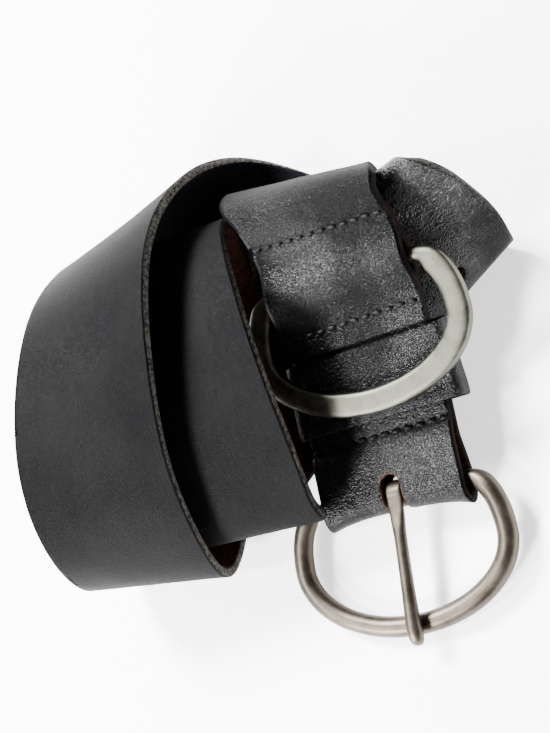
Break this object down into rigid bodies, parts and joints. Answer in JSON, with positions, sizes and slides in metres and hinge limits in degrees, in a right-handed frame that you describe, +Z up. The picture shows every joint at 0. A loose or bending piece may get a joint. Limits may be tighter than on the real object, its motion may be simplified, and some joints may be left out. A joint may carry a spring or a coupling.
{
  "type": "double buckle belt",
  "caption": "Black leather belt in a loose roll, with a D-ring resting on its keeper and a round-wire buckle with a prong at the folded end.",
  "frame": {"origin": "middle of the rolled belt's footprint, on the surface that it lies on", "axes": "+Z up, +X along the roll's axis from the tall outer turn towards the buckle end, -Y the way the buckle end points"},
  "size_m": [0.1554, 0.162, 0.0648],
  "materials": {
    "black_leather": "fine-grained, softly glossy",
    "pale_nickel": "satin antique nickel with a faint green cast",
    "warm_nickel": "polished antique nickel, warm grey"
  },
  "bodies": {
    "leather": {"strap": "black_leather", "buckle_tab": "black_leather", "keeper_loop": "black_leather"},
    "ring": {"d_ring": "pale_nickel"},
    "frame": {"buckle_frame": "warm_nickel"},
    "tongue": {"prong": "warm_nickel"}
  },
  "joints": [
    {"name": "ring_hinge", "type": "hinge", "parent": "leather", "child": "ring", "pos_m": [0.03139, 0.02732, 0.03472], "axis": [-0.9955, -0.0329, -0.0892], "range_deg": [0, 20]},
    {"name": "frame_hinge", "type": "hinge", "parent": "leather", "child": "frame", "pos_m": [0.02881, -0.03536, 0.00828], "axis": [-0.9975, -0.0682, -0.0175], "range_deg": [0, 30]},
    {"name": "prong_hinge", "type": "hinge", "parent": "frame", "child": "tongue", "pos_m": [0.02881, -0.03536, 0.00828], "axis": [-0.9975, -0.0682, -0.0175], "range_deg": [0, 55]}
  ]
}
